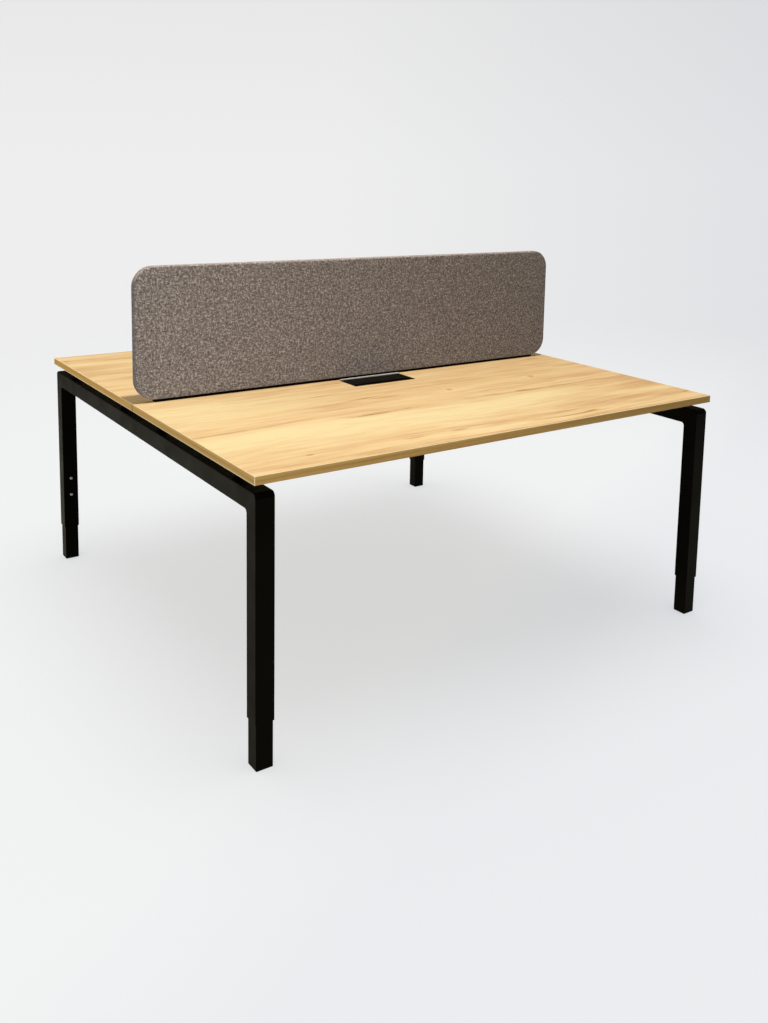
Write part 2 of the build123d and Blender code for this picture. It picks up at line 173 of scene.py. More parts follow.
def wear(tree, shader, colour, roughness):
    tree.links.new(colour, shader.inputs["Base Color"])
    tree.links.new(roughness, shader.inputs["Roughness"])


print("helpers for patterns ready")

# %% [markdown]
# The tops are boards with an oak decor. Each shows two planks, and a thin broken crack runs along the joint
# between them. The plank next to the screen is a pinkish tan. The one at the user has broader bands and a
# light yellow heart that fades into tan. Long soft streaks, fine lines and short pores run along X in both.
# A picture of wood could be wrapped on, but a tree of stretched noise has no seams and no fixed resolution.
# The boards are alike and turned to face their users, so the rear one reads the same tree turned by half a
# circle; only a painted shade that darkens both tops towards +X is not turned.

# %% Oak decor, the grain
joint_row = -0.445
joint_swing = 0.05
joint_rows = [
    (-0.79, -0.437), (-0.56, -0.425), (-0.42, -0.410), (-0.33, -0.458), (-0.12, -0.447), (0.10, -0.438),
    (0.44, -0.442), (0.79, -0.423),
]
top_half_length = 0.8


def flowing(tree, place):
    x, y, z = split_place(tree, place)
    drift = spread(tree, cloudy(tree, place, (0.8, 1.6, 1.0), 2.0), 0.0, 1.0, -0.05, 0.05)
    return add(tree, "ShaderNodeCombineXYZ", {"X": x, "Y": reckon(tree, "ADD", y, drift), "Z": z}).outputs[0]


def drawn_along(tree, place, points):
    x = split_place(tree, place)[0]
    drawn = add(tree, "ShaderNodeFloatCurve", {"Value": spread(tree, x, -top_half_length, top_half_length)})
    curve = drawn.mapping.curves[0]
    while len(curve.points) < len(points):
        curve.points.new(0.5, 0.5)
    for point, (along, value) in zip(curve.points, points):
        point.location = ((along + top_half_length) / (2 * top_half_length), value)
    drawn.mapping.update()
    return drawn.outputs["Value"]


def joint_distance(tree, place):
    shares = [(along, 0.5 + (row - joint_row) / (2 * joint_swing)) for along, row in joint_rows]
    limits = (joint_row - joint_swing, joint_row + joint_swing)
    row = spread(tree, drawn_along(tree, place, shares), 0.0, 1.0, *limits)
    shiver = spread(tree, cloudy(tree, place, (9.0, 0.0, 0.0), 3.0), 0.0, 1.0, -0.005, 0.005)
    return reckon(tree, "SUBTRACT", split_place(tree, place)[1], reckon(tree, "ADD", row, shiver))


print("planks meet at row", joint_row)

# %% Oak decor, cracks and knots
crack_depths = [
    (-0.79, 0.60), (-0.60, 0.50), (-0.44, 0.40), (-0.40, 0.0), (-0.35, 0.2), (-0.22, 0.95), (-0.13, 0.8),
    (-0.10, 0.05), (0.02, 0.1), (0.10, 0.6), (0.25, 0.8), (0.32, 1.0), (0.42, 0.9), (0.60, 0.6), (0.79, 0.7),
]
knots = [
    ((0.12, -0.31), (0.014, 0.012)), ((0.49, -0.285), (0.016, 0.014)), ((-0.61, -0.716), (0.014, 0.008)),
    ((-0.15, -0.717), (0.040, 0.008)), ((0.32, -0.437), (0.045, 0.014)), ((-0.12, -0.295), (0.070, 0.006)),
    ((-0.30, -0.722), (0.050, 0.005)), ((0.78, -0.715), (0.020, 0.008)), ((0.70, -0.05), (0.050, 0.006)),
]


def grain_cracks(tree, place, shift):
    rings = cloudy(tree, place, (0.6, 17.0, 1.0), 2.0, 0.5, shift)
    from_ring = reckon(tree, "ABSOLUTE", reckon(tree, "SUBTRACT", rings, 0.5))
    line = spread(tree, from_ring, 0.0, 0.012, 1.0, 0.0)
    here = spread(tree, cloudy(tree, place, (3.4, 13.0, 1.0), 1.0, 0.5, shift), 0.60, 0.70)
    return reckon(tree, "MULTIPLY", line, here)


def joint_crack(tree, place, from_joint):
    swings = cloudy(tree, place, (5.0, 0.0, 0.0), 2.0, 0.5, (7.0, 0.0, 0.0))
    width = spread(tree, swings, 0.35, 0.65, 0.0040, 0.0085)
    away = reckon(tree, "DIVIDE", reckon(tree, "ABSOLUTE", from_joint), width)
    breaks = cloudy(tree, place, (9.0, 0.0, 0.0), 2.0, 0.5, (4.0, 0.0, 0.0))
    depth = drawn_along(tree, place, crack_depths)
    here = reckon(tree, "MULTIPLY", depth, spread(tree, breaks, 0.35, 0.55, 0.4, 1.0))
    sharp = spread(tree, away, 0.2, 1.0, 1.0, 0.0)
    shade = spread(tree, away, 0.0, 3.0, 0.3, 0.0)
    return reckon(tree, "MULTIPLY", reckon(tree, "MAXIMUM", sharp, shade), here)


def oval_distance(tree, place, middle, reach):
    scale = (1 / reach[0], 1 / reach[1], 0.0)
    shift = (-middle[0] * scale[0], -middle[1] * scale[1], 0.0)
    oval = add(tree, "ShaderNodeMapping", {"Vector": place, "Scale": scale, "Location": shift}).outputs[0]
    return add(tree, "ShaderNodeVectorMath", {0: oval}, operation="LENGTH").outputs["Value"]


def small_knots(tree, place):
    spots = 0.0
    for middle, reach in knots:
        spot = spread(tree, oval_distance(tree, place, middle, reach), 0.3, 1.0, 1.0, 0.0)
        spots = reckon(tree, "MAXIMUM", spots, spot)
    return spots


print("knots in each board", len(knots))

# %% Oak decor, the tone
# The first oval is the pale heart of the plank at the user; the second, at the board's -X end on the plank
# next to the screen, is painted light.
heart_and_lit_ovals = [((-0.35, -0.540), (0.95, 0.120)), ((-0.90, -0.22), (0.75, 0.20))]
heart_and_lit_lift = 0.26
broad_tones = (0.22, 0.66)
band_swing = 0.50
tone_swings = {"streaks": 0.32, "mottles": 0.28, "fine": 0.46}
painted_falloff_right = -0.1


def grain_noises(tree, flow):
    return {
        "broad": cloudy(tree, flow, (1.2, 9.0, 1.0), 2.0),
        "bands": cloudy(tree, flow, (1.3, 15.0, 1.0), 3.0, 0.5, (3.0, 8.0, 0.0)),
        "streaks": cloudy(tree, flow, (2.0, 36.0, 1.0), 5.0, 0.6),
        "mottles": cloudy(tree, flow, (7.0, 46.0, 1.0), 2.0, 0.5, (5.0, 2.0, 0.0)),
        "fine": cloudy(tree, flow, (4.5, 190.0, 1.0), 3.0, 0.6),
    }


def heart_and_lit_patch(tree, flow, at_user):
    # The heart counts only at the user; the patch of painted light counts on both planks.
    pale, end = [spread(tree, oval_distance(tree, flow, *oval), 0.35, 1.15, 1.0, 0.0) for oval in heart_and_lit_ovals]
    return reckon(tree, "MAXIMUM", reckon(tree, "MULTIPLY", pale, at_user), end)


def oak_tone(tree, noises, heart_and_lit, at_user, along):
    tone = spread(tree, noises["broad"], 0.0, 1.0, *broad_tones)
    tone = reckon(tree, "ADD", tone, reckon(tree, "MULTIPLY", heart_and_lit, heart_and_lit_lift))
    bands = spread(tree, noises["bands"], 0.0, 1.0, -band_swing, band_swing)
    tone = reckon(tree, "ADD", tone, reckon(tree, "MULTIPLY", bands, at_user))
    for name, swing in tone_swings.items():
        tone = reckon(tree, "ADD", tone, spread(tree, noises[name], 0.0, 1.0, -swing, swing))
    # Darker towards +X on both boards: painted shade of the light falling off along the desk.
    return reckon(tree, "ADD", tone, spread(tree, along, -0.3, 0.8, 0.0, painted_falloff_right))


print("light hearts", len(heart_and_lit_ovals), "and swings of tone", tone_swings)

# %% Oak decor, the boards
oak_light = seen(239, 220, 170)
oak_mid = seen(234, 207, 157)
oak_tan = seen(225, 192, 143)
oak_streak = seen(203, 164, 116)
oak_crack = seen(154, 104, 24)
oak_pink = (1.0, 0.955, 0.93, 1.0)
rosy_shares = (0.8, 0.3)
pore_share = 0.14
knot_share = 0.65
crack_share = 0.9


def oak_colour(tree, tone, heart_and_lit, at_user):
    colour = toned(tree, tone, [(0.08, oak_streak), (0.36, oak_tan), (0.55, oak_mid), (0.82, oak_light)])
    rosy = spread(tree, at_user, 0.0, 1.0, *rosy_shares)
    rosy = reckon(tree, "MULTIPLY", rosy, reckon(tree, "SUBTRACT", 1.0, heart_and_lit))
    return mixed(tree, rosy, colour, mixed(tree, 1.0, colour, oak_pink, "MULTIPLY"))


def oak_board(name, turned):
    material, tree, shader = start_material(name)
    here = object_place(tree)
    facing_user = {"Vector": here, "Rotation": (0.0, 0.0, math.pi * turned)}
    place = add(tree, "ShaderNodeMapping", facing_user).outputs["Vector"]
    flow = flowing(tree, place)
    noises = grain_noises(tree, flow)
    pores = spread(tree, cloudy(tree, flow, (24.0, 820.0, 1.0), 1.0), 0.58, 0.70)
    from_joint = joint_distance(tree, place)
    at_user = spread(tree, from_joint, -0.010, 0.010, 1.0, 0.0)
    heart_and_lit = heart_and_lit_patch(tree, flow, at_user)
    tone = oak_tone(tree, noises, heart_and_lit, at_user, split_place(tree, here)[0])
    colour = oak_colour(tree, tone, heart_and_lit, at_user)
    colour = mixed(tree, reckon(tree, "MULTIPLY", pores, pore_share), colour, oak_crack)
    knotty = reckon(tree, "MULTIPLY", small_knots(tree, place), knot_share)
    cracks = reckon(tree, "MAXIMUM", grain_cracks(tree, flow, (0.0, 0.0, 3.0)), knotty)
    cracks = reckon(tree, "MAXIMUM", cracks, joint_crack(tree, place, from_joint))
    colour = mixed(tree, reckon(tree, "MULTIPLY", cracks, crack_share), colour, oak_crack)
    wear(tree, shader, colour, spread(tree, noises["fine"], 0.3, 0.7, 0.42, 0.58))
    shader.inputs["Specular IOR Level"].default_value = 0.35
    hollow = reckon(tree, "ADD", pores, cracks)
    raise_surface(tree, shader, reckon(tree, "SUBTRACT", 1.0, hollow), 0.15, 0.0003)
    return material


oak_front = oak_board("oak_front", 0)
oak_rear = oak_board("oak_rear", 1)
print("oak nodes", len(oak_front.node_tree.nodes))

# %% [markdown]
# The edging is a thin strip of the same decor glued round each board, browner than the face. Its grain runs
# along the strip, so the noise reads X plus Y: on a front strip only X changes, on an end strip only Y, and
# one tree serves both. The long strips at the users get a darker, bluer tint, which is painted shade. A
# paler line along the top, at the corners and, on the end strips, also along the bottom is a painted
# highlight of the arrises catching the light.

# %% Oak edging
edge_light = seen(214, 170, 76)
edge_dark = seen(182, 134, 52)
edge_highlight = seen(240, 218, 172)
highlight_below = 0.0034
highlight_above = 0.0018
corner_width = 0.0024
long_strip_painted_shade = (0.785, 0.80, 1.2, 1.0)
edging_low, edging_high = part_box("desktop_front_edging")


def oak_edging():
    material, tree, shader = start_material("oak_edging")
    x, y, z = split_place(tree, object_place(tree))
    along = reckon(tree, "ADD", x, y)
    place = add(tree, "ShaderNodeCombineXYZ", {"X": along, "Z": z}).outputs["Vector"]
    streaks = spread(tree, cloudy(tree, place, (2.2, 1.0, 130.0), 4.0, 0.6), 0.35, 0.70)
    pores = spread(tree, cloudy(tree, place, (30.0, 1.0, 1000.0), 1.0), 0.58, 0.70)
    colour = mixed(tree, streaks, edge_light, edge_dark)
    colour = mixed(tree, reckon(tree, "MULTIPLY", pores, 0.2), colour, oak_crack)
    from_front = reckon(tree, "SUBTRACT", -edging_low.y, reckon(tree, "ABSOLUTE", y))
    long_strip = reckon(tree, "LESS_THAN", from_front, corner_width)
    # The long strips at the users are tinted darker and bluer: painted shade.
    colour = mixed(tree, long_strip, colour, mixed(tree, 1.0, colour, long_strip_painted_shade, "MULTIPLY"))
    from_end = reckon(tree, "SUBTRACT", edging_high.x, reckon(tree, "ABSOLUTE", x))
    from_low = reckon(tree, "DIVIDE", reckon(tree, "SUBTRACT", z, edging_low.z), highlight_below)
    from_low = reckon(tree, "ADD", from_low, reckon(tree, "GREATER_THAN", from_end, corner_width))
    from_high = reckon(tree, "DIVIDE", reckon(tree, "SUBTRACT", edging_high.z, z), highlight_above)
    from_corner = reckon(tree, "DIVIDE", reckon(tree, "MAXIMUM", from_end, from_front), corner_width)
    nearest = reckon(tree, "MINIMUM", reckon(tree, "MINIMUM", from_low, from_high), from_corner)
    # The paler lines along the arrises are a painted highlight.
    painted_highlight = spread(tree, nearest, 0.75, 1.0, 0.9, 0.0)
    colour = mixed(tree, painted_highlight, colour, edge_highlight)
    wear(tree, shader, colour, spread(tree, streaks, 0.0, 1.0, 0.42, 0.55))
    raise_surface(tree, shader, reckon(tree, "SUBTRACT", 1.0, pores), 0.1, 0.0002)
    return material


edging_finish = oak_edging()
print("edging finish", edging_finish.name)

# %% [markdown]
# The frame is powder coated: a near black satin skin with the fine ripple that the melted powder leaves.
# The ripple is a noise bump of about a millimetre, and the gloss wanders slightly. The telescopic legs
# have the same coat, with faint upright rub marks from sliding in the outer legs.

# %% Black powder coat
coat_dark = seen(3, 3, 2)
coat_light = seen(7, 7, 5)
rub_mark = seen(26, 25, 21)


def powder_coat(name, rubbed):
    material, tree, shader = start_material(name)
    place = object_place(tree)
    ripple = cloudy(tree, place, (900.0, 900.0, 900.0), 2.0)
    drift = cloudy(tree, place, (14.0, 14.0, 14.0), 3.0)
    rubs = spread(tree, cloudy(tree, place, (520.0, 520.0, 5.0), 2.0), 0.60, 0.74)
    colour = mixed(tree, ripple, coat_dark, coat_light)
    colour = mixed(tree, reckon(tree, "MULTIPLY", rubs, rubbed), colour, rub_mark)
    gloss = spread(tree, drift, 0.3, 0.7, 0.40, 0.50)
    gloss = reckon(tree, "SUBTRACT", gloss, reckon(tree, "MULTIPLY", rubs, 0.08 * rubbed))
    wear(tree, shader, colour, gloss)
    shader.inputs["Specular IOR Level"].default_value = 0.04
    shader.inputs["Specular Tint"].default_value = (1.0, 0.95, 0.75, 1.0)
    raise_surface(tree, shader, ripple, 0.12, 0.0004)
    return material


frame_coat = powder_coat("frame_coat", 0.0)
leg_coat = powder_coat("leg_coat", 0.5)
print("coats", frame_coat.name, leg_coat.name)

# %% [markdown]
# The small metal parts are zinc plated steel and brass, and the bar behind each port's lid has a coat of
# silver lacquer. All are worn unevenly by plating and turning, so their gloss and tone follow a noise, and
# fine scratches lift the surface. The lacquer scatters light like paint, so it counts as only part metal.

# %% Zinc and brass
def plated(name, light, dark, gloss, metal=1.0):
    material, tree, shader = start_material(name)
    place = object_place(tree)
    patches = cloudy(tree, place, (260.0, 260.0, 260.0), 3.0)
    scratches = cloudy(tree, place, (2600.0, 2600.0, 420.0), 1.0)
    roughness = spread(tree, patches, 0.3, 0.7, gloss, gloss + 0.14)
    wear(tree, shader, mixed(tree, patches, light, dark), roughness)
    shader.inputs["Metallic"].default_value = metal
    raise_surface(tree, shader, scratches, 0.08, 0.0002)
    return material


zinc = plated("zinc", seen(214, 214, 210), seen(176, 178, 178), 0.26)
brass = plated("brass", seen(214, 182, 108), seen(178, 142, 76), 0.3)
silver_lacquer = plated("silver_lacquer", seen(240, 240, 238), seen(226, 227, 227), 0.4, 0.2)
print("metals", zinc.name, brass.name, silver_lacquer.name)

# %% [markdown]
# Spacers, feet and plugs are black moulded plastic, and the cable ports are a warmer black. A mould leaves an
# even, pebbled skin: Voronoi cells of half a millimetre make the pebbles, and noise varies the tone.

# %% Moulded plastics
def moulded(name, dark, light, pebble, gloss):
    material, tree, shader = start_material(name)
    place = object_place(tree)
    cells = add(tree, "ShaderNodeTexVoronoi", {"Vector": place, "Scale": 1.0 / pebble}).outputs["Distance"]
    tone = cloudy(tree, place, (35.0, 35.0, 35.0), 4.0)
    wear(tree, shader, mixed(tree, tone, dark, light), spread(tree, cells, 0.0, 0.7, gloss, gloss + 0.1))
    shader.inputs["Specular IOR Level"].default_value = 0.05
    raise_surface(tree, shader, cells, 0.1, 0.0003)
    return material


black_plastic = moulded("black_plastic", seen(4, 4, 3), seen(9, 9, 8), 0.0007, 0.5)
port_plastic = moulded("port_plastic", seen(10, 8, 6), seen(17, 14, 11), 0.0006, 0.5)
print("plastics", black_plastic.name, port_plastic.name)

# %% [markdown]
# The screen's core is raw chipboard between the pads. It hardly shows, but it is still a real surface:
# Voronoi cells stand for the pressed chips, each with its own tone.

# %% Chipboard core
def chipboard():
    material, tree, shader = start_material("chipboard")
    cells = add(tree, "ShaderNodeTexVoronoi", {"Vector": object_place(tree), "Scale": 260.0})
    tone = add(tree, "ShaderNodeSeparateColor", {"Color": cells.outputs["Color"]}).outputs[0]
    colour = mixed(tree, tone, seen(196, 164, 120), seen(150, 116, 76))
    wear(tree, shader, colour, spread(tree, tone, 0.0, 1.0, 0.75, 0.9))
    raise_surface(tree, shader, cells.outputs["Distance"], 0.2, 0.0005)
    return material


core_finish = chipboard()
print("core finish", core_finish.name)

# %% [markdown]
# Each CAD part whose shape is already right keeps its mesh and only gets its finish. The lists below go
# by the parts' own names, so a part that is left out would show up in the last line's count.

# %% Give the CAD parts their finishes
def finish_parts(material, *starts):
    found = [name for name in parts if name.startswith(starts)]
    for name in found:
        parts[name].data.materials.clear()
        parts[name].data.materials.append(material)
    return found


done = finish_parts(oak_front, "desktop_front")
done += finish_parts(oak_rear, "desktop_rear")
finish_parts(edging_finish, "desktop_front_edging", "desktop_rear_edging")
done += finish_parts(frame_coat, "side_rail", "outer_leg", "long_beam", "beam_end_plates", "clamp_bushes")
done += finish_parts(frame_coat, "screen_bracket", "screen_base_strip")
done += finish_parts(leg_coat, "inner_leg")
done += finish_parts(zinc, "clamp_screws", "beam_bolts", "beam_rivet_nuts", "desktop_screws")
done += finish_parts(zinc, "bracket_screws", "port_pin", "foot_stud")
done += finish_parts(silver_lacquer, "port_trim")
done += finish_parts(brass, "desktop_inserts")
done += finish_parts(black_plastic, "desktop_spacers", "foot_pad", "leg_plug")
done += finish_parts(port_plastic, "port_frame", "port_lid")
done += finish_parts(core_finish, "screen_core")
print("finished", len(set(done)), "parts, left for soft pieces:", sorted(set(parts) - set(done)))

# %% [markdown]
# The screen's cloth is a melange weave: grey brown yarns with lighter and darker stretches. The pads get a
# map in metres that follows the cloth round the edges, and the tree weaves on it: whole numbers name each
# yarn, an odd or even sum says which yarn lies on top, and a noise along each yarn gives its light and dark
# stretches, which show as short upright and level dashes. The rounded yarns are also the bump.

# %% Melange weave
yarn_pitch = 0.0034
slub_length = 0.014
yarn_apart = 17.31
crossing_dip = 0.55
yarn_dark = seen(62, 55, 51)
yarn_mid = seen(92, 83, 77)
yarn_light = seen(138, 128, 120)


def yarn_round(tree, count):
    return reckon(tree, "SINE", reckon(tree, "MULTIPLY", reckon(tree, "FRACT", count), math.pi))


def yarn_tone(tree, number, along, shift):
    row = reckon(tree, "MULTIPLY", number, yarn_apart)
    stretch = reckon(tree, "DIVIDE", along, slub_length)
    place = add(tree, "ShaderNodeCombineXYZ", {"X": row, "Y": stretch, "Z": shift})
    values = {"Vector": place.outputs["Vector"], "Scale": 1.0, "Detail": 1.0}
    return add(tree, "ShaderNodeTexNoise", values).outputs["Fac"]


def yarn_height(tree, top_yarn, crossing_yarn):
    return reckon(tree, "MULTIPLY", top_yarn, spread(tree, crossing_yarn, 0.0, 1.0, crossing_dip, 1.0))


def melange_weave():
    material, tree, shader = start_material("melange_weave")
    cloth = add(tree, "ShaderNodeUVMap", uv_map="weave").outputs["UV"]
    across, along = split_place(tree, cloth)[:2]
    warp = reckon(tree, "DIVIDE", across, yarn_pitch)
    weft = reckon(tree, "DIVIDE", along, yarn_pitch)
    warp_number = reckon(tree, "FLOOR", warp)
    weft_number = reckon(tree, "FLOOR", weft)
    on_top = reckon(tree, "FLOORED_MODULO", reckon(tree, "ADD", warp_number, weft_number), 2.0)
    warp_tone = yarn_tone(tree, warp_number, along, 0.0)
    weft_tone = yarn_tone(tree, weft_number, across, 9.0)
    clumps = spread(tree, cloudy(tree, cloth, (150.0, 150.0, 1.0), 1.0), 0.3, 0.7, -0.16, 0.16)
    tone = reckon(tree, "ADD", chosen(tree, on_top, warp_tone, weft_tone), clumps)
    colour = toned(tree, tone, [(0.24, yarn_dark), (0.50, yarn_mid), (0.78, yarn_light)])
    over = yarn_height(tree, yarn_round(tree, warp), yarn_round(tree, weft))
    under = yarn_height(tree, yarn_round(tree, weft), yarn_round(tree, warp))
    height = chosen(tree, on_top, over, under)
    wear(tree, shader, colour, spread(tree, height, 0.0, 1.0, 0.98, 0.82))
    shader.inputs["Sheen Weight"].default_value = 0.15
    shader.inputs["Sheen Roughness"].default_value = 0.5
    shader.inputs["Specular IOR Level"].default_value = 0.2
    raise_surface(tree, shader, height, 0.5, 0.0005)
    return material


weave = melange_weave()
print("weave nodes", len(weave.node_tree.nodes))

# %% [markdown]
# Each half of the screen is foam under tight cloth, with flat face, rounded corners and soft edges, and
# the two halves meet in a seam round the middle. The mesh is a grid: in the corner squares a formula
# bends the grid's border into an arc, so that all faces stay four-sided. From the border, rings go round
# the soft edge, along the side, into the seam, and back into the pocket that holds the core.

# %% Grid of a screen half
pad_low, pad_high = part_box("screen_pad_front")
half_length = (pad_high.x - pad_low.x) / 2
half_height = (pad_high.z - pad_low.z) / 2
middle_height = (pad_high.z + pad_low.z) / 2
half_thickness = -pad_low.y
corner_radius = 0.060
edge_radius = 0.005
corner_steps = 6
steps_along = 116
steps_up = 22


def grid_line(half, steps):
    flat = half - corner_radius
    curve = np.linspace(0.0, corner_radius - edge_radius, corner_steps + 1)[1:]
    middle = np.linspace(-flat, flat, steps + 1)
    return np.concatenate([-flat - curve[::-1], middle, flat + curve])


def bent_corner(x, z):
    reach = corner_radius - edge_radius
    flat_x = half_length - corner_radius
    flat_z = half_height - corner_radius
    share_x = (abs(x) - flat_x) / reach
    share_z = (abs(z) - flat_z) / reach
    if share_x <= 1e-9 or share_z <= 1e-9:
        return x, z
    new_x = flat_x + share_x * math.sqrt(1 - share_z ** 2 / 2) * reach
    new_z = flat_z + share_z * math.sqrt(1 - share_x ** 2 / 2) * reach
    return math.copysign(new_x, x), math.copysign(new_z, z)


def outward(x, z):
    over_x = max(abs(x) - (half_length - corner_radius), 0.0)
    over_z = max(abs(z) - (half_height - corner_radius), 0.0)
    out = Vector((over_x, over_z)).normalized()
    return math.copysign(out.x, x), math.copysign(out.y, z)


lines_x = grid_line(half_length, steps_along)
lines_z = grid_line(half_height, steps_up)
print("grid", len(lines_x), "by", len(lines_z))

# %% Rings of a screen half
edge_steps = 5
side_depths = (0.0060, 0.0030)
seam_dip = [(0.0002, 0.0014), (0.0010, 0.0006), (0.0024, 0.0003)]
pocket_inset = 0.0080
pocket_mouth = 0.0003
core_reach = 0.0062


def edge_rings():
    rings = []
    for step in range(1, edge_steps + 1):
        angle = math.radians(90 / edge_steps * step)
        rings.append((edge_radius * math.sin(angle), half_thickness - edge_radius * (1 - math.cos(angle))))
    rings += [(edge_radius, depth) for depth in side_depths]
    rings += [(edge_radius - inset, depth) for inset, depth in seam_dip]
    rings += [(edge_radius - pocket_inset, depth) for depth in (pocket_mouth, core_reach)]
    return rings


def border_walk(columns, rows):
    bottom = [(i, 0) for i in range(columns - 1)]
    far = [(columns - 1, j) for j in range(rows - 1)]
    top = [(i, rows - 1) for i in range(columns - 1, 0, -1)]
    near = [(0, j) for j in range(rows - 1, 0, -1)]
    return [j * columns + i for i, j in bottom + far + top + near]


flat_places = [bent_corner(x, z) for z in lines_z for x in lines_x]
border = border_walk(len(lines_x), len(lines_z))
print("border points", len(border), "rings", len(edge_rings()))

# %% Mesh of a screen half
swell = 0.0015


def face_grid(columns, rows):
    starts = [j * columns + i for j in range(rows - 1) for i in range(columns - 1)]
    return [(first, first + 1, first + columns + 1, first + columns) for first in starts]


def screen_half(name, side):
    points = [(x, side * (half_thickness - swell), middle_height + z) for x, z in flat_places]
    cloth = list(flat_places)
    grid = face_grid(len(lines_x), len(lines_z))
    faces = list(grid)
    ring, length, last = border, 0.0, (0.0, half_thickness)
    for reach, depth in edge_rings():
        length += math.hypot(reach - last[0], depth - last[1])
        last = (reach, depth)
        new = list(range(len(points), len(points) + len(border)))
        for index in border:
            x, z = flat_places[index]
            out_x, out_z = outward(x, z)
            points.append((x + out_x * reach, side * depth, middle_height + z + out_z * reach))
            cloth.append((x + out_x * length, z + out_z * length))
        faces += [(ring[k - 1], new[k - 1], new[k], ring[k]) for k in range(len(ring))]
        ring = new
    inside = dict(zip(border, ring))
    for index, (x, z) in enumerate(flat_places):
        if index not in inside:
            inside[index] = len(points)
            points.append((x, side * core_reach, middle_height + z))
            cloth.append((x, z))
    faces += [tuple(inside[index] for index in reversed(face)) for face in grid]
    if side > 0:
        faces = [tuple(reversed(face)) for face in faces]
    return cloth_object(name, points, faces, cloth)


def cloth_object(name, points, faces, cloth):
    mesh = bpy.data.meshes.new(name)
    mesh.from_pydata(points, [], faces)
    corners = np.zeros(len(mesh.loops), np.int32)
    mesh.loops.foreach_get("vertex_index", corners)
    layer = mesh.uv_layers.new(name="weave")
    layer.uv.foreach_set("vector", np.array(cloth, np.float32)[corners].ravel())
    pad = bpy.data.objects.new(name, mesh)
    scene.collection.objects.link(pad)
    held = pad.vertex_groups.new(name="held")
    held.add(list(range(len(flat_places), len(points))), 1.0, "REPLACE")
    return pad


pads = {"front": screen_half("screen_cover_front", -1), "rear": screen_half("screen_cover_rear", 1)}
print("pad faces", {name: len(pad.data.polygons) for name, pad in pads.items()})

# %% [markdown]
# The foam presses the cloth out from behind. A short cloth simulation does this: everything outside the
# flat face is pinned, air pressure stands for the foam, and there is no gravity. The face may move only as
# far as the foam swells, so it ends flat and tight with soft shoulders. One subdivision smooths the mesh.

# %% Swell the pads
def swell_pad(pad, frames=20):
    before = np.array([vertex.co for vertex in pad.data.vertices])
    cloth = pad.modifiers.new("foam", "CLOTH")
    cloth.settings.quality = 6
    cloth.settings.mass = 0.3
    cloth.settings.tension_stiffness = 40.0
    cloth.settings.compression_stiffness = 40.0
    cloth.settings.bending_stiffness = 2.0
    cloth.settings.vertex_group_mass = "held"
    cloth.settings.use_pressure = True
    cloth.settings.uniform_pressure_force = 4.0
    cloth.settings.effector_weights.gravity = 0.0
    for frame_number in range(1, frames + 1):
        scene.frame_set(frame_number)
    result = pad.evaluated_get(bpy.context.evaluated_depsgraph_get()).to_mesh()
    after = np.array([vertex.co for vertex in result.vertices])
    pad.modifiers.remove(cloth)
    scene.frame_set(1)
    move = after - before
    length = np.linalg.norm(move, axis=1, keepdims=True)
    capped = before + move * np.minimum(1.0, swell / np.maximum(length, 1e-9))
    pad.data.vertices.foreach_set("co", capped.ravel())
    pad.data.update()
    return float(length.max())


def subdivided(piece):
    smooth = piece.modifiers.new("smooth", "SUBSURF")
    smooth.levels = 1
    smooth.render_levels = 1
    mesh = bpy.data.meshes.new_from_object(piece.evaluated_get(bpy.context.evaluated_depsgraph_get()))
    piece.modifiers.remove(smooth)
    piece.data = mesh
    mesh.polygons.foreach_set("use_smooth", [True] * len(mesh.polygons))


for user, pad in pads.items():
    reach = swell_pad(pad)
    subdivided(pad)
    pad.data.materials.clear()
    pad.data.materials.append(weave)
    pad.vertex_groups.clear()
    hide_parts(f"screen_pad_{user}")
    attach(pad, "desk_frame")
    print(pad.name, "faces", len(pad.data.polygons), "pressed out by", round(reach * 1000, 2), "mm")

# %% [markdown]
# What repeats is left to Geometry Nodes: one tree makes a small shape from a few named sizes and sets it on
# many points. The helpers below start such a tree, give it its inputs, and turn the finished result into a
# plain mesh. An input is set on the modifier by the socket's identifier, before anything is evaluated.

# %% Helpers for Geometry Nodes
def start_tree(name, inputs):
    tree = bpy.data.node_groups.new(name, "GeometryNodeTree")
    tree.interface.new_socket("Geometry", in_out="OUTPUT", socket_type="NodeSocketGeometry")
    tree.interface.new_socket("Geometry", in_out="INPUT", socket_type="NodeSocketGeometry")
    for label, kind in inputs.items():
        tree.interface.new_socket(label, in_out="INPUT", socket_type="NodeSocket" + kind)
    return tree, tree.nodes.new("NodeGroupInput").outputs


def end_tree(tree, geometry, finish):
    real = add(tree, "GeometryNodeRealizeInstances", {"Geometry": geometry}).outputs["Geometry"]
    painted = add(tree, "GeometryNodeSetMaterial", {"Geometry": real, "Material": finish})
    tree.links.new(painted.outputs["Geometry"], tree.nodes.new("NodeGroupOutput").inputs[0])


def grown(name, seeds, tree, sizes):
    piece = bpy.data.objects.new(name, seeds)
    scene.collection.objects.link(piece)
    modifier = piece.modifiers.new("grow", "NODES")
    modifier.node_group = tree
    for socket in tree.interface.items_tree:
        if socket.in_out == "INPUT" and socket.name in sizes:
            modifier[socket.identifier] = sizes[socket.name]
    mesh = bpy.data.meshes.new_from_object(piece.evaluated_get(bpy.context.evaluated_depsgraph_get()))
    piece.modifiers.remove(modifier)
    piece.data = mesh
    mesh.name = name
    return piece


def combined(tree, operation, *meshes):
    made = add(tree, "GeometryNodeMeshBoolean", operation=operation, solver="EXACT")
    if operation == "DIFFERENCE":
        tree.links.new(meshes[0], made.inputs["Mesh 1"])
        meshes = meshes[1:]
    for mesh in reversed(meshes):
        tree.links.new(mesh, made.inputs["Mesh 2"])
    return made.outputs["Mesh"]


